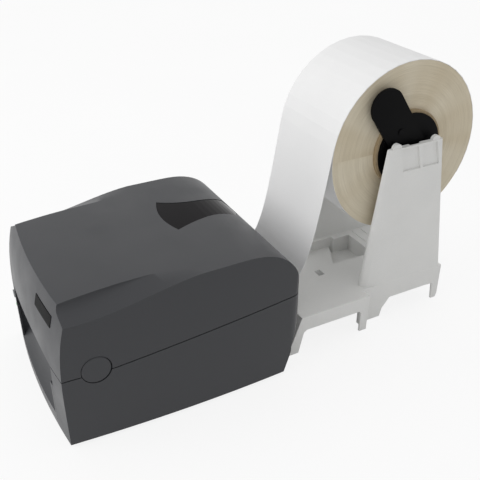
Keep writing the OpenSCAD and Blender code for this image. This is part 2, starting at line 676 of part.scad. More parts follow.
// A tooth's corners: each its radius and its share of the pitch
pinion_corners = [[pinion_pitch_r - 1.15, -0.25], [pinion_pitch_r + 0.8, -0.11],
    [pinion_pitch_r + 0.8, 0.11], [pinion_pitch_r - 1.15, 0.25]];
module guide_pinion() color([0.9, 0.9, 0.86]) translate([0, at(pinion_d), deck_top + rack_gap])
    difference() {
        linear_extrude(rack_h) polygon([for (i = [0:guide_teeth - 1]) each [for (corner = pinion_corners)
            let (a = 90 + 360 / guide_teeth * (i + corner[1])) corner[0] * [cos(a), sin(a)]]]);
        translate([0, 0, -1]) cylinder(h = rack_h + 2, r = stud_r + run);
    }
// The guide at +X, its rack on the front side of the pinion. The other guide's rack passes under its plate.
module media_guide() {
    z0 = deck_top + rack_gap;
    plate_z = z0 + rack_h + rack_gap;
    rack_d = pinion_d - pinion_pitch_r - 1.15 * rack_module - 5;
    face_d = [pinion_d - 26, pinion_d + 26];
    teeth = 17;
    block([guide_face, guide_face + 12], [at(face_d[0]), at(face_d[1])], [plate_z, plate_z + 2.5]);
    block([guide_face, guide_face + 2.4], [at(face_d[0]), at(face_d[1])], [plate_z, plate_z + 22]);
    for (d = [face_d[0], face_d[1] - 6])
        block([guide_face, guide_face + 12], [at(d), at(d + 6)], [z0, plate_z + eps]);
    for (d = [face_d[0] + 8, face_d[1] - 10]) along_y(at(d), at(d + 2))
        polygon([[guide_face + 2, plate_z + 2], [guide_face + 12, plate_z + 2], [guide_face + 2, plate_z + 18]]);
    block([guide_face + 1, guide_face + 12], [at(rack_d), at(rack_d + 5)], [z0, plate_z + eps]);
    tooth_root = 5;
    translate([0, at(rack_d), z0]) linear_extrude(rack_h) polygon(concat(
        [[guide_face + 8, 0], [-6, 0], [-6, tooth_root]],
        [for (i = [0:teeth - 1]) each [for (corner = [[-0.25, 0], [-0.11, 1.9], [0.11, 1.9], [0.25, 0]])
            [rack_pitch * (i - 0.5 + corner[0]), tooth_root + corner[1] * rack_module]]],
        [[guide_face + 8, tooth_root]]));
}
module media_guide_right() color([0.35, 0.55, 0.35]) media_guide();
// Turned half round about the pinion's axis
module media_guide_left() color([0.35, 0.55, 0.35])
    translate([0, 2 * at(pinion_d), 0]) rotate([0, 0, 180]) media_guide();

// ---------- release buttons, springs and latches ----------

latch_x = bracket_x - 6;
latch_z = button_z - 34.8;
latch_pin_r = 2;
catch_x = bracket_x - 1;                        // inner edge of the lid's catch
catch_z = button_z + button_r + 10.6;           // top of the lid's catch
catch_gap = 0.4;
hook_z = catch_z + catch_gap;                   // underside of the latch's hook
module release_button() {
    difference() {
        union() {
            rod_x(button_face_x - button_t - 1.5, button_face_x - 0.8, button_d, button_z, button_r);
            translate([button_face_x - 0.8, at(button_d), button_z]) rotate([0, 90, 0])
                cylinder(h = 0.8, r1 = button_r, r2 = button_r - 0.8);
            rod_x(stem_in_x, button_face_x - button_t, button_d, button_z, stem_r);
        }
        ring_x(bracket_x, button_face_x - button_t, button_d, button_z, button_r - 2, stem_r);
    }
}
module release_button_right() color(case_grey) release_button();
module release_button_left() color(case_grey) mirror([1, 0, 0]) release_button();
// The spring at its pressed length, so it stays clear of the button all the way
module release_spring() ring_x(bracket_x + bracket_t, button_face_x - button_t - button_travel - 0.3,
    button_d, button_z, stem_r + 2, stem_r + 0.5);
module release_spring_right() color(steel) release_spring();
module release_spring_left() color(steel) mirror([1, 0, 0]) release_spring();

module latch_lever() difference() {
    union() {
        translate([latch_x, at(button_d - 5.6), latch_z]) rotate([-90, 0, 0]) cylinder(h = 11.2, r = 4);
        along_y(at(button_d - 5), at(button_d + 5)) polygon([[latch_x - 1.5, latch_z],
            [latch_x + 1.5, latch_z], [latch_x + 1.5, hook_z], [catch_x - catch_gap, hook_z],
            [catch_x - catch_gap, hook_z + 1.5], [latch_x, hook_z + 5], [latch_x - 1.5, hook_z + 5]]);
        block([latch_x + 1.4, stem_in_x - 0.3], [at(button_d - 4), at(button_d + 4)],
            [button_z - 1, button_z + 4]);
    }
    pin_y(latch_x, latch_z, button_d - 7, button_d + 7, latch_pin_r + run);
}
module latch_lever_right() color([0.2, 0.2, 0.21]) latch_lever();
module latch_lever_left() color([0.2, 0.2, 0.21]) mirror([1, 0, 0]) latch_lever();
module latch_pivots() color(steel) both_sides() translate([latch_x, at(button_d - 9), latch_z])
    rotate([-90, 0, 0]) cylinder(h = 18, r = latch_pin_r);
module hinge_pins() color(steel) both_sides()
    rod_x(ear_x[0][0], ear_x[1][1], hinge_d, hinge_z, hinge_pin_r);

// ---------- lid ----------

// Outline of the window seen from above: a bowed front edge and two hollow sides
module window_outline(grow) {
    front_left = [-54 - grow, at(181 - grow)];
    front_right = [18.5 + grow, at(178.5 - grow)];
    rear_right = [3.5 + grow, at(257 + grow)];
    rear_left = [-47 - grow, at(266 + grow)];
    polygon(concat(bowed(front_left, front_right, 8, 10), bowed(front_right, rear_right, -5, 8),
        bowed(rear_right, rear_left, 9, 8), bowed(rear_left, front_left, -13, 10)));
}
badge_x = [37, 84];
badge_z = [137.5, 150.5];
badge_deep = 1;
module badge_box(grow) block([badge_x[0] - grow, badge_x[1] + grow], [at(-10), at(30)],
    [badge_z[0] - grow, badge_z[1] + grow]);

module lid_walls() {
    difference() {
        intersection() { case_form(); above_parting(); }
        case_form(wall);
        mouth_cut();
        button_bore(button_r + button_gap);
        both_sides() for (x = ear_x) hinge_notch(x);
        translate([0, 0, 120]) linear_extrude(100) window_outline(window_gap);
        difference() {
            badge_box(0.2);
            case_front(badge_deep);
        }
    }
    both_sides() knuckle(knuckle_x, [hinge_z, hinge_z + 12]);
    // seat under the window's edge
    intersection() {
        difference() {
            translate([0, 0, 120]) linear_extrude(100) window_outline(4);
            translate([0, 0, 110]) linear_extrude(120) window_outline(-4);
        }
        difference() {
            case_form(window_t + 0.4);
            case_form(window_t + 2);
        }
    }
    // catches for the latch levers
    both_sides() intersection() {
        block([catch_x, far], [at(button_d - 5), at(button_d + 5)], [catch_z - 6, catch_z]);
        case_form(wall - eps);
    }
}
module lid_shell() color(case_grey) difference() {
    lid_walls();
    both_sides() rod_x(knuckle_x[0] - 1, knuckle_x[1] + 1, hinge_d, hinge_z, hinge_pin_r + run);
}

module lid_window() color([0.16, 0.14, 0.16]) intersection() {
    translate([0, 0, 120]) linear_extrude(100) window_outline(0);
    difference() {
        case_profile(0.4);
        case_profile(0.4 + window_t);
    }
}

module badge_plate() color(black) intersection() {
    badge_box(0);
    difference() {
        case_front(-0.5);
        case_front(badge_deep);
    }
}

// ---------- ribbon carriage and print head, hung in the lid ----------

carriage_half = plate_half;
carriage_t = 2;
crossbar_z = head_z + 17.4;            // underside of the bar that the head's springs press against
module carriage_frame() color([0.22, 0.22, 0.23]) {
    difference() {
        intersection() {
            union() {
                both_sides() along_x(carriage_half, carriage_half + carriage_t) polygon([
                    [at(platen_d - 4), far], [at(platen_d - 4), head_z + 5.4],
                    [at(platen_d + 8), head_z - 10.6],
                    [at(head_d + 11.4), head_z - 10.6], [at(supply_d + 8), head_z + 5.4],
                    [at(supply_d + 20), takeup_z - 1.5], [at(supply_d + 20), far]]);
                block([-carriage_half, carriage_half], [at(platen_d - 3), at(platen_d + 9)],
                    [crossbar_z, crossbar_z + 3]);
                block([-carriage_half, carriage_half], [at(supply_d + 15), at(supply_d + 18)],
                    [takeup_z, takeup_z + 20]);
            }
            case_form(wall);
        }
        both_sides() {
            rod_x(carriage_half - 1, carriage_half + 4, head_d, head_z, rod_r);
            rod_x(carriage_half - 1, carriage_half + 4, takeup_d, takeup_z, spool_pin_r + run);
            rod_x(carriage_half - 1, carriage_half + 4, supply_d, supply_z, spool_pin_r + run);
        }
    }
}
rod_r = 2.5;
spool_pin_r = 4;
module head_pivot_rod() color(steel)
    rod_x(gear_x0 - 1, carriage_half + carriage_t, head_d, head_z, rod_r);
module ribbon_idler_gear() color([0.9, 0.9, 0.86])
    gear_x(gear_x0, head_d, head_z, ribbon_idler_teeth, ribbon_idler_phase, rod_r + run);
module takeup_gear() color([0.9, 0.9, 0.86])
    gear_x(gear_x0, takeup_d, takeup_z, takeup_teeth, takeup_phase, spool_pin_r);

spool_r = 6.5;
spool_half = carriage_half - 1;
module spindle(d, z, x_left) color([0.85, 0.85, 0.82]) {
    rod_x(x_left, carriage_half + carriage_t + 1, d, z, spool_pin_r);
    difference() {
        rod_x(-spool_half, spool_half, d, z, spool_r);
        for (a = [0:90:270]) translate([0, at(d), z]) rotate([a, 0, 0])
            block([-spool_half - 1, spool_half + 1], [spool_r - 1, spool_r + 1], [-1, 1]);
    }
}
module ribbon_core(d, z) color([0.75, 0.66, 0.5])
    ring_x(-media_w / 2, media_w / 2, d, z, spool_r + 6.2, spool_r + 0.1);
module takeup_spindle() spindle(takeup_d, takeup_z, gear_x0 - 1);
module supply_spindle() spindle(supply_d, supply_z, -carriage_half - carriage_t - 1);
module takeup_core() ribbon_core(takeup_d, takeup_z);
module supply_core() ribbon_core(supply_d, supply_z);

head_low = platen_z + platen_r + 0.5;
spring_places = [-35, 35];
module print_head() color([0.75, 0.75, 0.76]) difference() {
    union() {
        block([-platen_half, platen_half], [at(platen_d - 9), at(platen_d + 8)], [head_low, head_low + 4]);
        for (d = [platen_d - 9:4.4:platen_d + 5])
            block([-platen_half, platen_half], [at(d), at(d + 2.4)], [head_low + 4 - eps, head_low + 12]);
        both_sides() along_x(platen_half - 3, platen_half) polygon([[at(platen_d - 4), head_low],
            [at(platen_d + 8), head_low], [at(head_d + 3), head_z - 6], [at(head_d + 5.5), head_z],
            [at(head_d), head_z + 5.5], [at(platen_d - 4), head_low + 14]]);
        block([-platen_half, platen_half], [at(platen_d + 1), at(platen_d + 8)],
            [head_low + 10, head_low + 13]);
    }
    rod_x(-platen_half - 1, platen_half + 1, head_d, head_z, rod_r + run);
}
module head_springs() color(steel) for (x = spring_places) difference() {
    post(x, platen_d + 4.5, head_low + 13, crossbar_z, 3);
    post(x, platen_d + 4.5, head_low + 12, crossbar_z + 1, 2);
}

// ---------- label roll, its hubs and spindle ----------

spindle_half = stand_inner_half - 4;
core_in = core_r - core_wall;
hub_gap = 0.08;
module label_roll() color(paper)
    ring_x(-media_w / 2, media_w / 2, roll_d, roll_z, roll_r, core_r, $fn = 128);
core_half = media_w / 2 + 5;           // the core stands proud of the labels on both sides
module roll_core() color([0.75, 0.66, 0.5])
    ring_x(-core_half, core_half, roll_d, roll_z, core_r, core_in, $fn = 96);
module roll_spindle() color(black) {
    rod_x(-spindle_half, spindle_half, roll_d, roll_z, spindle_r);
    for (side = [-1, 1]) rod_x(side * 30 - 1.5, side * 30 + 1.5, roll_d, roll_z, core_in - hub_gap);
}
lobe_r = 22;
lobe_reach = 72.8;
lobe_angle = 124.6;                    // from +Y towards +Z
hub_x = [36, core_half + 2];
arm_t = 3.5;
flange_t = 1.5;
module hub_right() color(black) difference() {
    union() {
        ring_x(hub_x[0], hub_x[1], roll_d, roll_z, core_in - hub_gap, core_in - 4);
        rod_x(hub_x[1] - 3, hub_x[1], roll_d, roll_z, core_in - 3);
        along_x(hub_x[1] - eps, hub_x[1] + arm_t) translate([at(roll_d), roll_z]) hull() {
            circle(r = lobe_r, $fn = 48);
            translate(lobe_reach * [cos(lobe_angle), sin(lobe_angle)]) circle(r = lobe_r, $fn = 48);
        }
        rod_x(hub_x[1], hub_x[1] + arm_t + 1, roll_d, roll_z, spindle_r + 3);
        rod_x(hub_x[1], hub_x[1] + arm_t + 1, roll_d + 32 * cos(lobe_angle),
            roll_z + 32 * sin(lobe_angle), 4);
    }
    rod_x(hub_x[0] - 1, hub_x[1] + 9, roll_d, roll_z, spindle_r + run);
}
module hub_left() color(black) difference() {
    union() {
        ring_x(-hub_x[1], -hub_x[0], roll_d, roll_z, core_in - hub_gap, core_in - 4);
        rod_x(-hub_x[1], -hub_x[1] + 3, roll_d, roll_z, core_in - 3);
        rod_x(-hub_x[1] - flange_t, -hub_x[1], roll_d, roll_z, core_r + 1);
    }
    rod_x(-hub_x[1] - 9, -hub_x[0] + 1, roll_d, roll_z, spindle_r);
}

// The web: wound once over the roll, then down and forwards through the rear slot
web_wrap = 200;                        // angle of the last turn that stays on the roll
leave_angle = 10;                      // the web leaves the roll this far above its foremost point
web_in = [case_len - 2, 68];           // where it passes the rear slot
web_end = web_in - [70, -2];           // its leading edge, inside the printer
// One face of the web: offset lies outwards on the roll and upwards in the printer
function web_line(offset) = let (
    r = roll_r + web_gap,
    start = [roll_d, roll_z] + r * [-cos(leave_angle), sin(leave_angle)],
    path = [start, start - 120 * [sin(leave_angle), cos(leave_angle)], web_in + [44.5, 6.7], web_in],
    wound = [for (i = [0:24]) let (a = mix(180 - leave_angle - web_wrap, 180 - leave_angle, i / 24))
        [roll_d, roll_z] + (r + offset) * [cos(a), sin(a)]],
    hanging = [for (i = [1:20]) let (t = i / 20, ahead = bezier(path, t) - bezier(path, t - 0.01))
        bezier(path, t) + offset * [ahead[1], -ahead[0]] / norm(ahead)])
    concat(wound, hanging, [web_end + [0, offset]]);
module label_web() color(paper) {
    outer = web_line(web_t);
    inner = web_line(0);
    outline = concat(outer, [for (i = [len(inner) - 1:-1:0]) inner[i]]);
    along_x(-media_w / 2, media_w / 2) polygon([for (p = outline) [at(p[0]), p[1]]]);
}

// ---------- roll stand ----------

stand_d0 = case_len + 15;              // front edge of the platform
stand_step_d = stand_d0 + 100;         // where the stand steps in
stand_d1 = roll_d + 72.2;              // rear edge
toe_d = case_len - 4;                  // front of the slanted legs' feet
skirt_z = 31.7;
rear_skirt_z = 26;
recess_x = [-52, 8.5];                 // the recess in the platform, under the roll
recess_d = [stand_step_d - 31, roll_d + 8.2];
recess_step = [-46, roll_d - 18];      // its far side steps in here
recess_t = 2.5;                        // thickness of its floor

module front_side() polygon([[at(stand_d0), stand_z], [at(toe_d), 0], [at(toe_d + 16), 0],
    [at(stand_d0 + 4), skirt_z - 3], [at(stand_d0 + 8), skirt_z], [at(stand_step_d - 14), skirt_z],
    [at(stand_step_d - 11), skirt_z - 3], [at(stand_step_d - 11), 0], [at(stand_step_d), 0],
    [at(stand_step_d), stand_z]]);
module rear_side() polygon([[at(stand_step_d - stand_wall), stand_z], [at(stand_step_d - stand_wall), 0],
    [at(stand_step_d + 32), 0], [at(stand_step_d + 35), 12], [at(stand_step_d + 46), rear_skirt_z],
    [at(stand_d1 - 24), rear_skirt_z], [at(stand_d1 - 12), rear_skirt_z - 1], [at(stand_d1 - 10), 0],
    [at(stand_d1 - 2), 0], [at(stand_d1), 6], [at(stand_d1), stand_z]]);

module stand_base() color(stand_white) difference() {
    union() {
        both_sides() {
            along_x(stand_half - stand_wall, stand_half) front_side();
            along_x(stand_inner_half - stand_wall, stand_inner_half) rear_side();
            block([stand_inner_half - stand_wall, stand_half],
                [at(stand_step_d - stand_wall), at(stand_step_d)], [0, stand_z]);
        }
        // slanted front wall and platform
        along_x(-stand_half, stand_half) polygon([[at(stand_d0), stand_z], [at(toe_d), 0],
            [at(toe_d + stand_wall + 1), 0], [at(stand_d0 + stand_wall + 1), stand_z]]);
        block([-stand_half, stand_half], [at(stand_d0), at(stand_step_d)], [stand_z - stand_wall, stand_z]);
        block([-stand_inner_half, stand_inner_half], [at(stand_step_d - stand_wall), at(stand_d1)],
            [stand_z - stand_wall, stand_z]);
        block([-stand_inner_half, stand_inner_half], [at(stand_d1 - stand_wall), at(stand_d1)],
            [rear_skirt_z, stand_z]);
        // tongues under the printer
        both_sides() block([40, 62], [at(toe_d - 25), at(toe_d + 3)], [1, foot_h]);
        // box of the recess
        block([recess_x[0] - stand_wall, recess_x[1] + stand_wall],
            [at(recess_d[0] - stand_wall), at(recess_d[1] + stand_wall)], [rear_skirt_z, stand_z]);
    }
    block([-30, 30], [at(toe_d - 5), at(stand_d0 + 3)], [-1, 34]);
    difference() {
        recess_z = [rear_skirt_z + recess_t, stand_z + 1];
        union() {
            block(recess_x, [at(recess_d[0]), at(recess_step[1])], recess_z);
            block([recess_step[0], recess_x[1]], [at(recess_step[1] - eps), at(recess_d[1])], recess_z);
        }
        // raised part of its floor, with a slanted rear edge
        translate([0, 0, rear_skirt_z]) linear_extrude(recess_t + 9) polygon([
            [recess_x[0] - 1, at(recess_d[0] - 1)], [recess_x[1] + 1, at(recess_d[0] - 1)],
            [recess_x[1] + 1, at(recess_d[0] + 38)], [recess_x[0] - 1, at(recess_step[1] - 2)]]);
    }
    // notch beside the recess, and two grooves behind it
    block([recess_x[1] + stand_wall, recess_x[1] + 15.5], [at(recess_d[0]), at(recess_d[0] + 9)],
        [stand_z - stand_wall - 1, stand_z + 1]);
    for (d = [recess_d[1] + 9, recess_d[1] + 24])
        block([recess_x[0], -recess_x[0]], [at(d), at(d + 1.6)], [stand_z - 1, stand_z + 1]);
}

// The upright: a tapering column with a rounded nose, smaller by inset
module upright_form(inset) hull() {
    translate([0, 0, stand_z]) linear_extrude(0.5) upright_section([media_w / 2 - 1.5, -26], 31, 69, inset);
    translate([0, 0, column_top - 0.5 - inset]) linear_extrude(0.5)
        upright_section([tip_x, -20], 21, 41, inset);
}
// Its section, from the inner face and the nose back to rear. Lengths count from the spindle's axis.
module upright_section(start, nose, rear, inset) {
    half = (stand_inner_half - start[0]) / 2;
    chamfer = min(3, (half - inset) * 0.8);
    polygon([for (p = concat([for (i = [0:12]) let (a = 15 * i)
        [start[0] + half + (half - inset) * cos(a), start[1] - (nose - inset) * sin(a)]],
        [[start[0] + inset, rear - inset - chamfer], [start[0] + inset + chamfer, rear - inset],
        [stand_inner_half - inset - chamfer, rear - inset],
        [stand_inner_half - inset, rear - inset - chamfer]]))
        [p[0], at(roll_d + p[1])]]);
}
column_top = upright_z - 5.5;
tip_r = 6;
tip_x = hub_x[1] + arm_t + 3;          // inner face of the column at its top
pocket_z = [column_top - 31.8, column_top - 2.1];
pocket_slant = [5.8, 7.4];             // how far a pocket's front and rear edges run back towards its foot
module upright() {
    seat_r = spindle_r + 0.08;
    difference() {
        union() {
            difference() {
                upright_form(0);
                difference() {
                    upright_form(stand_wall);
                    // ribs inside the column
                    for (d = [roll_d - 20, roll_d + 24])
                        block([40, 90], [at(d), at(d + 2)], [stand_z, upright_z]);
                    block([40, 90], [at(roll_d - 80), at(roll_d + 80)], [pocket_z[0] - 6, pocket_z[0] - 3]);
                    block([40, 90], [at(roll_d - 23), at(roll_d + 46)], [pocket_z[0] - 3, upright_z]);
                }
            }
            // rounded tips in front of and behind the cradle
            for (d = [roll_d - 27.5, roll_d + 30.5])
                rod_x(tip_x + 0.5, stand_inner_half - 1, d, upright_z - tip_r, tip_r);
        }
        // cradle for the spindle, open upwards
        rod_x(40, stand_inner_half - 3, roll_d, roll_z, seat_r);
        block([40, stand_inner_half - 3], [at(roll_d - seat_r), at(roll_d + seat_r)], [roll_z, upright_z + 9]);
        // pockets in the outer face
        for (top = [[-21.6, 3.2], [8.2, 31.8]]) along_x(stand_inner_half - 2.4, 90) polygon([
            for (p = [[top[0], pocket_z[1]], [top[0] + pocket_slant[0], pocket_z[0]],
                [top[1] + pocket_slant[1], pocket_z[0]], [top[1], pocket_z[1]]]) [at(roll_d + p[0]), p[1]]]);
    }
}
module upright_right() color(stand_white) upright();
module upright_left() color(stand_white) mirror([1, 0, 0]) upright();

base_shell();
rubber_feet();
inner_deck();
side_plates();
exit_frame();
tear_bar();
front_panel();
platen_bushes();
gear_stud();
stepper_motor();
sensor_rail();
main_board();
port_plate();
usb_port();
network_port();
dc_inlet();
rocker_housing();
hinge_pins();
latch_pivots();
case_screws();
status_lens();
stand_base();
upright_left();
upright_right();
label_web();
platen_roller();
platen_shaft();
platen_gear();
idler_gear();
motor_pinion();
lid_shell();
lid_window();
badge_plate();
carriage_frame();
head_pivot_rod();
ribbon_idler_gear();
takeup_spindle();
takeup_core();
takeup_gear();
supply_spindle();
supply_core();
print_head();
head_springs();
media_guide_right();
media_guide_left();
guide_pinion();
label_sensor();
release_button_right();
release_button_left();
release_spring_right();
release_spring_left();
latch_lever_right();
latch_lever_left();
power_rocker();
feed_key();
label_roll();
roll_core();
roll_spindle();
hub_left();
hub_right();
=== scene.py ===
"""Desktop thermal label printer with its roll stand: looks, light and camera."""
import json
import math

import bmesh
import bpy
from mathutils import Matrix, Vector


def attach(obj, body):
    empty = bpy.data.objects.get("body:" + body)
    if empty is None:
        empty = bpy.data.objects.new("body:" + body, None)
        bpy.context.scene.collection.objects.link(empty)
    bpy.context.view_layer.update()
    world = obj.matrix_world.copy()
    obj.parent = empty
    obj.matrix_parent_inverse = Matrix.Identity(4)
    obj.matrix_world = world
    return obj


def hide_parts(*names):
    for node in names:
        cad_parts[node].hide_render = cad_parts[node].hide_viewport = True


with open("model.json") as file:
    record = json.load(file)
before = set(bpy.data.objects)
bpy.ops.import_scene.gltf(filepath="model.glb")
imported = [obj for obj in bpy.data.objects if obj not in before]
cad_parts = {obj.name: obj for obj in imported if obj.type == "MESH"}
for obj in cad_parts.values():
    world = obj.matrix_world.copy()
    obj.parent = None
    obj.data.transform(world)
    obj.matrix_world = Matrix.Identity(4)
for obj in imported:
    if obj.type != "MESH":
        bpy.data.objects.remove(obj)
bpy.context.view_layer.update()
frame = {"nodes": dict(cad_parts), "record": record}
nodes = frame["nodes"]

# ---------------------------------------------------------------- measures (metres)
FRONT_Y = -0.2828                 # the front face's foremost point
ROLL_AXIS = (FRONT_Y + 0.4598, 0.2295)    # its Y and Z
ROLL_TRUE_SIDE = 0.7              # a face of the roll whose normal lies this far along X is on its side
SAME_POINT = 2e-6                 # points closer than this are one
FLAT_ANGLE = 0.4                  # degrees; faces that meet at less than this are one flat face
SOFT_ANGLE = 24                   # degrees; sharper edges of the softened shells are rounded
CREASE_ANGLE = 30                 # degrees; sharper edges of all other nodes stay creased
EDGE_STEPS = 3                    # segments across a rounded edge
FLOOR_REACH = 40.0
FLOOR_WHITE = 0.85                # share of plain white in what the camera sees of the floor
SKY_LEVEL = 0.96                  # just under white, so that no horizon shows where the floor ends


# ---------------------------------------------------------------- node helpers

def srgb(r, g, b):
    """A colour written as it shows on screen, 0 to 255, as linear light."""
    def line(c):
        c /= 255
        return c / 12.92 if c <= 0.04045 else ((c + 0.055) / 1.055) ** 2.4
    return (line(r), line(g), line(b), 1.0)


class Graph:
    """A material's node tree, with short calls for the nodes used here."""

    def __init__(self, name):
        self.material = bpy.data.materials.new(name)
        self.material.use_nodes = True
        self.tree = self.material.node_tree
        self.shader = self.tree.nodes["Principled BSDF"]

    def node(self, kind, **values):
        made = self.tree.nodes.new(kind)
        for key, value in values.items():
            setattr(made, key, value)
        return made

    def link(self, out, into):
        self.tree.links.new(out, into)

    def put(self, socket, value):
        """value is a number, a colour or another node's output."""
        if isinstance(value, bpy.types.NodeSocket):
            self.link(value, socket)
        else:
            socket.default_value = value

    def place(self):
        return self.node("ShaderNodeTexCoord").outputs["Object"]

    def math(self, operation, a, b=0.0):
        made = self.node("ShaderNodeMath", operation=operation)
        self.put(made.inputs[0], a)
        self.put(made.inputs[1], b)
        return made.outputs[0]

    def noise(self, scale, detail=4.0, roughness=0.6, vector=None, stretch=None):
        where = vector or self.place()
        if stretch:
            mapping = self.node("ShaderNodeMapping")
            mapping.inputs["Scale"].default_value = stretch
            self.link(where, mapping.inputs["Vector"])
            where = mapping.outputs[0]
        made = self.node("ShaderNodeTexNoise")
        made.inputs["Scale"].default_value = scale
        made.inputs["Detail"].default_value = detail
        made.inputs["Roughness"].default_value = roughness
        self.link(where, made.inputs["Vector"])
        return made.outputs["Fac"]

    def ramp(self, value, stops):
        made = self.node("ShaderNodeValToRGB")
        band = made.color_ramp
        while len(band.elements) < len(stops):
            band.elements.new(0.5)
        for element, (place, colour) in zip(band.elements, stops):
            element.position = place
            element.color = colour
        self.link(value, made.inputs["Fac"])
        return made.outputs["Color"]

    def spread(self, value, low, high):
        """Turns 0..1 noise into low..high."""
        made = self.node("ShaderNodeMapRange")
        made.inputs["From Min"].default_value = 0.25
        made.inputs["From Max"].default_value = 0.75
        made.inputs["To Min"].default_value = low
        made.inputs["To Max"].default_value = high
        self.link(value, made.inputs["Value"])
        return made.outputs["Result"]

    def mix(self, factor, a, b, blend="MIX"):
        made = self.node("ShaderNodeMix", data_type="RGBA", blend_type=blend)
        self.put(made.inputs["Factor"], factor)
        self.put(made.inputs["A"], a)
        self.put(made.inputs["B"], b)
        return made.outputs["Result"]

    def bump(self, height, distance, strength=1.0):
        made = self.node("ShaderNodeBump")
        made.inputs["Distance"].default_value = distance
        made.inputs["Strength"].default_value = strength
        self.link(height, made.inputs["Height"])
        self.link(made.outputs["Normal"], self.shader.inputs["Normal"])


PAPER_WHITE = srgb(236, 236, 236)


def shade(colour, factor):
    """The same colour, lighter or darker by a factor."""
    return (colour[0] * factor, colour[1] * factor, colour[2] * factor, 1.0)


def moulded(name, colour, roughness=0.5, grain=0.00004, grain_scale=2600, sheen_range=0.08, specular=0.5,
            mottle=0.1):
    """Moulded plastic: fine spark-eroded grain, slow flow marks in colour and gloss."""
    g = Graph(name)
    fine = g.noise(grain_scale, 3.0)
    slow = g.noise(22, 3.0, 0.5)
    tone = g.ramp(slow, [(0.3, shade(colour, 1 - mottle)), (0.7, shade(colour, 1 + mottle))])
    speckle = g.ramp(fine, [(0.35, shade(colour, 0.6)), (0.65, shade(colour, 1.5))])
    g.put(g.shader.inputs["Base Color"], g.mix(0.12, tone, speckle))
    g.put(g.shader.inputs["Roughness"], g.spread(slow, roughness - sheen_range, roughness + sheen_range))
    g.shader.inputs["Specular IOR Level"].default_value = specular
    g.bump(fine, grain)
    return g.material


def metal(name, colour, roughness, along=(1, 1, 1), scale=300):
    """Plated or ground metal with fine lines."""
    g = Graph(name)
    lines = g.noise(scale, 5.0, 0.7, stretch=along)
    tone = g.ramp(lines, [(0.3, shade(colour, 0.8)), (0.7, shade(colour, 1.1))])
    g.put(g.shader.inputs["Base Color"], tone)
    g.put(g.shader.inputs["Roughness"], g.spread(lines, roughness - 0.08, roughness + 0.12))
    g.shader.inputs["Metallic"].default_value = 1.0
    g.bump(lines, 0.00003)
    return g.material


def paper(name, colour):
    """Coated paper: a little fibre, a soft sheen."""
    g = Graph(name)
    fibre = g.noise(900, 6.0, 0.7)
    cloud = g.noise(14, 2.0)
    tone = g.ramp(cloud, [(0.3, shade(colour, 0.975)), (0.7, colour)])
    strands = g.ramp(fibre, [(0.4, shade(colour, 0.85)), (0.6, colour)])
    g.put(g.shader.inputs["Base Color"], g.mix(0.08, tone, strands))
    g.put(g.shader.inputs["Roughness"], g.spread(fibre, 0.55, 0.68))
    g.shader.inputs["Specular IOR Level"].default_value = 0.3
    g.bump(fibre, 0.00003)
    return g.material


def wound_edge(name):
    """The roll seen from its side: each turn of the web is a fine ring, with painted sheen and shade in
    wedges running out from the core.
    """
    g = Graph(name)
    split = g.node("ShaderNodeSeparateXYZ")
    g.link(g.place(), split.inputs[0])
    across = g.math("SUBTRACT", split.outputs["Y"], ROLL_AXIS[0])
    up = g.math("SUBTRACT", split.outputs["Z"], ROLL_AXIS[1])
    radius = g.math("SQRT", g.math("ADD", g.math("MULTIPLY", across, across), g.math("MULTIPLY", up, up)))
    angle = g.math("ARCTAN2", up, across)
    ring_place = g.node("ShaderNodeCombineXYZ")
    g.link(radius, ring_place.inputs["X"])
    g.link(g.math("MULTIPLY", angle, 0.0006), ring_place.inputs["Y"])
    rings = g.noise(3200, 3.0, 0.75, vector=ring_place.outputs[0])
    bands = g.noise(170, 3.0, 0.6, vector=ring_place.outputs[0])
    # painted sheen and shade: slow lighter and darker wedges across the rings, where light catches the
    # turns
    sheen_place = g.node("ShaderNodeCombineXYZ")
    g.link(g.math("MULTIPLY", angle, 1.6), sheen_place.inputs["X"])
    g.link(g.math("MULTIPLY", radius, 4.0), sheen_place.inputs["Y"])
    sheen_streaks = g.noise(1.3, 1.0, 0.4, vector=sheen_place.outputs[0])
    warm = g.ramp(bands, [(0.2, srgb(218, 210, 192)), (0.55, srgb(230, 223, 207)),
                          (0.85, srgb(238, 232, 219))])
    turns = g.ramp(rings, [(0.3, srgb(188, 178, 158)), (0.6, srgb(244, 240, 230))])
    lined = g.mix(0.5, warm, turns, "MULTIPLY")
    painted_sheen = g.ramp(sheen_streaks, [(0.3, srgb(226, 216, 196)), (0.6, srgb(250, 248, 242))])
    # multiplies the painted sheen and shade over the rings
    sheened = g.mix(0.6, lined, painted_sheen, "MULTIPLY")
    # the same node also holds the roll's outer face, which is plain paper
    face = g.node("ShaderNodeNewGeometry")
    normal = g.node("ShaderNodeSeparateXYZ")
    g.link(face.outputs["True Normal"], normal.inputs[0])
    on_side = g.math("GREATER_THAN", g.math("ABSOLUTE", normal.outputs["X"]), ROLL_TRUE_SIDE)
    g.put(g.shader.inputs["Base Color"], g.mix(on_side, PAPER_WHITE, sheened))
    g.shader.inputs["Roughness"].default_value = 0.62
    g.shader.inputs["Specular IOR Level"].default_value = 0.3
    g.bump(g.math("ADD", g.math("MULTIPLY", rings, 0.7), g.math("MULTIPLY", bands, 0.3)), 0.00012)
    return g.material


def cardboard(name, colour):
    """Wound card of the roll's core: long fibres and pale blotches."""
    g = Graph(name)
    fibre = g.noise(700, 6.0, 0.75, stretch=(1, 0.3, 0.3))
    blotch = g.noise(60, 3.0)
    tone = g.ramp(fibre, [(0.3, shade(colour, 0.75)), (0.7, shade(colour, 1.15))])
    blotches = g.ramp(blotch, [(0.35, shade(colour, 0.85)), (0.65, colour)])
    g.put(g.shader.inputs["Base Color"], g.mix(0.3, tone, blotches, "MULTIPLY"))
    g.shader.inputs["Roughness"].default_value = 0.85
    g.bump(fibre, 0.00008)
    return g.material


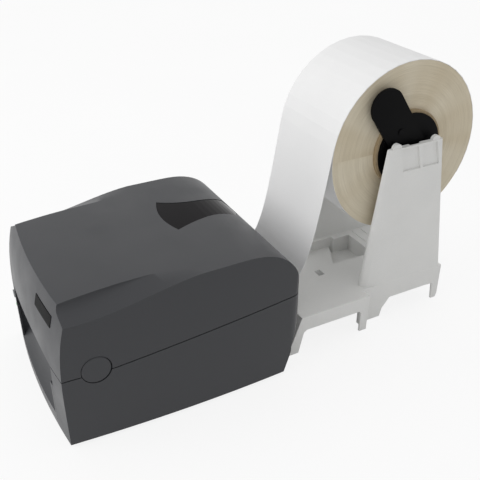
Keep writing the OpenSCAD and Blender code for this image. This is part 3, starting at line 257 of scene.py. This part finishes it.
def board(name):
    """Circuit board: dark solder mask, with paler tracks in a net."""
    g = Graph(name)
    tracks = g.node("ShaderNodeTexVoronoi", feature="DISTANCE_TO_EDGE")
    tracks.inputs["Scale"].default_value = 130
    g.link(g.place(), tracks.inputs["Vector"])
    mask = g.ramp(tracks.outputs["Distance"], [(0.03, srgb(70, 130, 84)), (0.07, srgb(22, 82, 50))])
    g.put(g.shader.inputs["Base Color"], mask)
    g.put(g.shader.inputs["Roughness"], g.spread(g.noise(90), 0.3, 0.45))
    g.bump(tracks.outputs["Distance"], 0.00005)
    return g.material


def ground_rubber(name, colour):
    """Dull rubber with a ground face."""
    g = Graph(name)
    fine = g.noise(1500, 6.0, 0.8)
    tone = g.ramp(fine, [(0.3, shade(colour, 0.7)), (0.7, shade(colour, 1.4))])
    g.put(g.shader.inputs["Base Color"], tone)
    g.put(g.shader.inputs["Roughness"], g.spread(fine, 0.7, 0.9))
    g.shader.inputs["Specular IOR Level"].default_value = 0.25
    g.bump(fine, 0.00006)
    return g.material


CHARCOAL = srgb(56, 57, 60)
LINES_ALONG_X = (0.05, 1, 1)      # stretches the noise of a metal along X
MATERIALS = {
    "case_plastic": moulded("case_plastic", CHARCOAL, 0.38, grain=0.00002, specular=0.34, mottle=0.03),
    "window_plastic": moulded("window_plastic", srgb(8, 5, 8), 0.14, grain=0.000004, grain_scale=900,
                              sheen_range=0.03, specular=0.06),
    "black_plastic": moulded("black_plastic", srgb(7, 7, 8), 0.5, specular=0.06),
    "inner_plastic": moulded("inner_plastic", srgb(44, 45, 47), 0.5),
    "white_plastic": moulded("white_plastic", srgb(228, 228, 226), 0.42, grain=0.00003, sheen_range=0.06,
                             specular=0.4, mottle=0.02),
    "gear_plastic": moulded("gear_plastic", srgb(226, 224, 214), 0.4, mottle=0.03),
    "guide_plastic": moulded("guide_plastic", srgb(70, 120, 78), 0.45),
    "red_plastic": moulded("red_plastic", srgb(170, 24, 20), 0.3),
    "key_plastic": moulded("key_plastic", srgb(118, 120, 122), 0.45),
    "lens_plastic": moulded("lens_plastic", srgb(90, 200, 110), 0.15),
    "steel": metal("steel", (0.56, 0.56, 0.58, 1), 0.3, along=LINES_ALONG_X),
    "head_aluminium": metal("head_aluminium", (0.7, 0.7, 0.71, 1), 0.35, along=LINES_ALONG_X),
    "motor_metal": metal("motor_metal", (0.25, 0.25, 0.26, 1), 0.45),
    "bronze": metal("bronze", (0.55, 0.38, 0.18, 1), 0.4),
    "roller_rubber": ground_rubber("roller_rubber", srgb(38, 38, 38)),
    "foot_rubber": ground_rubber("foot_rubber", srgb(30, 30, 30)),
    "board_laminate": board("board_laminate"),
    "label_paper": paper("label_paper", PAPER_WHITE),
    "core_card": cardboard("core_card", srgb(176, 158, 128)),
}
ROLL_SIDE = wound_edge("wound_paper")


def dress(obj, material):
    """Gives an object this one material."""
    obj.data.materials.clear()
    obj.data.materials.append(material)


for entry in frame["record"]["subparts"]:
    dress(nodes[entry["node"]], MATERIALS[entry["material_slot"]])
dress(nodes["label_roll"], ROLL_SIDE)

# ---------------------------------------------------------------- shells with softened edges


def smooth_faces(mesh, limit):
    """Smooth shading, with a crease wherever two faces meet at more than limit degrees."""
    mesh.polygons.foreach_set("use_smooth", [True] * len(mesh.polygons))
    work = bmesh.new()
    work.from_mesh(mesh)
    for edge in work.edges:
        edge.smooth = not (len(edge.link_faces) == 2 and edge.calc_face_angle(0) > math.radians(limit))
    work.to_mesh(mesh)
    work.free()


def softened(node, body, width):
    """A copy of a CAD node whose sharp edges are rounded to the given width."""
    source = nodes[node]
    mesh = source.data.copy()
    work = bmesh.new()
    work.from_mesh(mesh)
    bmesh.ops.remove_doubles(work, verts=work.verts, dist=SAME_POINT)
    bmesh.ops.dissolve_limit(work, angle_limit=math.radians(FLAT_ANGLE), verts=work.verts,
                             edges=work.edges)
    work.to_mesh(mesh)
    work.free()
    obj = bpy.data.objects.new(node + "_soft", mesh)
    bpy.context.collection.objects.link(obj)
    smooth_faces(mesh, SOFT_ANGLE)
    bevel = obj.modifiers.new("round", "BEVEL")
    bevel.limit_method = "ANGLE"
    bevel.angle_limit = math.radians(SOFT_ANGLE)
    bevel.width = width
    bevel.segments = EDGE_STEPS
    bevel.use_clamp_overlap = True
    bevel.harden_normals = True
    # large faces set the shading of the small ones beside them
    even = obj.modifiers.new("even", "WEIGHTED_NORMAL")
    even.weight = 100
    even.keep_sharp = True
    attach(obj, body)
    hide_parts(node)
    dress(obj, source.data.materials[0])


# the body that each shell rides on, and the width of its rounded edges
SOFTENED = {
    "base_shell": ("printer_base", 0.0009),
    "lid_shell": ("lid", 0.0012),
    "front_panel": ("printer_base", 0.0006),
    "stand_base": ("printer_base", 0.0010),
    "upright_right": ("printer_base", 0.0015),
    "upright_left": ("printer_base", 0.0015),
    "hub_right": ("printer_base", 0.0008),
}
for node, (body, width) in SOFTENED.items():
    softened(node, body, width)

for name, obj in nodes.items():
    if name not in SOFTENED:
        smooth_faces(obj.data, CREASE_ANGLE)

# keeps the facets of the paper's wide curves from shading each other
for name in ("label_roll", "label_web"):
    nodes[name].shadow_terminator_geometry_offset = 1.0
    nodes[name].shadow_terminator_normal_offset = 0.002

# ---------------------------------------------------------------- floor, light, camera


def white_to_camera(tree, shader_out, target, share, level=1.0):
    """Shows plain white to camera, glossy and transmission rays for the given share, and the real
    shader for the rest and to every other ray."""
    path = tree.nodes.new("ShaderNodeLightPath")
    plain = tree.nodes.new("ShaderNodeEmission")
    plain.inputs["Color"].default_value = (1, 1, 1, 1)
    plain.inputs["Strength"].default_value = level
    rays = path.outputs["Is Camera Ray"]
    for kind in ("Is Glossy Ray", "Is Transmission Ray"):
        either = tree.nodes.new("ShaderNodeMath")
        either.operation = "MAXIMUM"
        tree.links.new(rays, either.inputs[0])
        tree.links.new(path.outputs[kind], either.inputs[1])
        rays = either.outputs[0]
    seen = tree.nodes.new("ShaderNodeMath")
    seen.operation = "MULTIPLY"
    seen.inputs[1].default_value = share
    tree.links.new(rays, seen.inputs[0])
    mix = tree.nodes.new("ShaderNodeMixShader")
    tree.links.new(seen.outputs[0], mix.inputs["Fac"])
    tree.links.new(shader_out, mix.inputs[1])
    tree.links.new(plain.outputs[0], mix.inputs[2])
    tree.links.new(mix.outputs[0], target)


floor_mesh = bpy.data.meshes.new("floor")
corners = [(x * FLOOR_REACH, y * FLOOR_REACH, 0) for x, y in ((-1, -1), (1, -1), (1, 1), (-1, 1))]
floor_mesh.from_pydata(corners, [], [(0, 1, 2, 3)])
floor = bpy.data.objects.new("floor", floor_mesh)
bpy.context.collection.objects.link(floor)
floor_graph = Graph("floor")
floor_tone = floor_graph.ramp(floor_graph.noise(3, 2.0), [(0.3, srgb(236, 236, 236)),
                                                          (0.7, srgb(240, 240, 240))])
floor_graph.put(floor_graph.shader.inputs["Base Color"], floor_tone)
floor_graph.shader.inputs["Roughness"].default_value = 0.7
output = floor_graph.tree.nodes["Material Output"]
white_to_camera(floor_graph.tree, floor_graph.shader.outputs[0], output.inputs["Surface"], FLOOR_WHITE)
floor_mesh.materials.append(floor_graph.material)

world = bpy.data.worlds.new("studio")
world.use_nodes = True
bpy.context.scene.world = world
WORLD_LIGHT = 0.97
DIM_SIDE = 0.5                    # share of that light that comes from +X, so the sides keep their shape
background = world.node_tree.nodes["Background"]
background.inputs["Strength"].default_value = WORLD_LIGHT
way = world.node_tree.nodes.new("ShaderNodeTexCoord")
way_xyz = world.node_tree.nodes.new("ShaderNodeSeparateXYZ")
fall = world.node_tree.nodes.new("ShaderNodeMapRange")
for socket, value in (("From Min", -0.3), ("From Max", 0.9), ("To Min", 1.0), ("To Max", DIM_SIDE)):
    fall.inputs[socket].default_value = value
world.node_tree.links.new(way.outputs["Generated"], way_xyz.inputs[0])
world.node_tree.links.new(way_xyz.outputs["X"], fall.inputs["Value"])
world.node_tree.links.new(fall.outputs["Result"], background.inputs["Color"])
white_to_camera(world.node_tree, background.outputs[0],
                world.node_tree.nodes["World Output"].inputs["Surface"], 1.0, SKY_LEVEL)


def lamp(name, place, target, size, power):
    """A rectangular lamp that faces its target."""
    light = bpy.data.lights.new(name, "AREA")
    light.shape = "RECTANGLE"
    light.size, light.size_y = size
    light.energy = power
    obj = bpy.data.objects.new(name, light)
    obj.location = place
    obj.rotation_euler = (Vector(target) - Vector(place)).to_track_quat("-Z", "Y").to_euler()
    bpy.context.collection.objects.link(obj)


MIDDLE = (0, 0, 0.12)
KEY_PLACE = (-0.2, -1.7, 1.0)
KEY_SIZE = (1.4, 1.2)
KEY_WATTS = 11
lamp("key", KEY_PLACE, MIDDLE, KEY_SIZE, KEY_WATTS)

# The camera stands where the measured view was taken from; azimuth 0 looks along +Y
CAMERA_BEFORE_FRONT = 0.081828
CAMERA_PLACE = (0.658167, FRONT_Y - CAMERA_BEFORE_FRONT, 0.565644)
CAMERA_AZIMUTH = 62.133
CAMERA_ELEVATION = 30.728
IMAGE_WIDTH = 480
FOCAL_PIXELS = 704.412
SENSOR_WIDTH = 36                 # millimetres
camera_data = bpy.data.cameras.new("camera")
camera_data.sensor_width = SENSOR_WIDTH
camera_data.lens = SENSOR_WIDTH * FOCAL_PIXELS / IMAGE_WIDTH
camera_data.clip_start = 0.01
camera = bpy.data.objects.new("camera", camera_data)
camera.rotation_mode = "XYZ"
camera.location = CAMERA_PLACE
camera.rotation_euler = (math.radians(90 - CAMERA_ELEVATION), 0, math.radians(CAMERA_AZIMUTH))
bpy.context.collection.objects.link(camera)
bpy.context.scene.camera = camera

bpy.context.scene.view_settings.view_transform = "Standard"
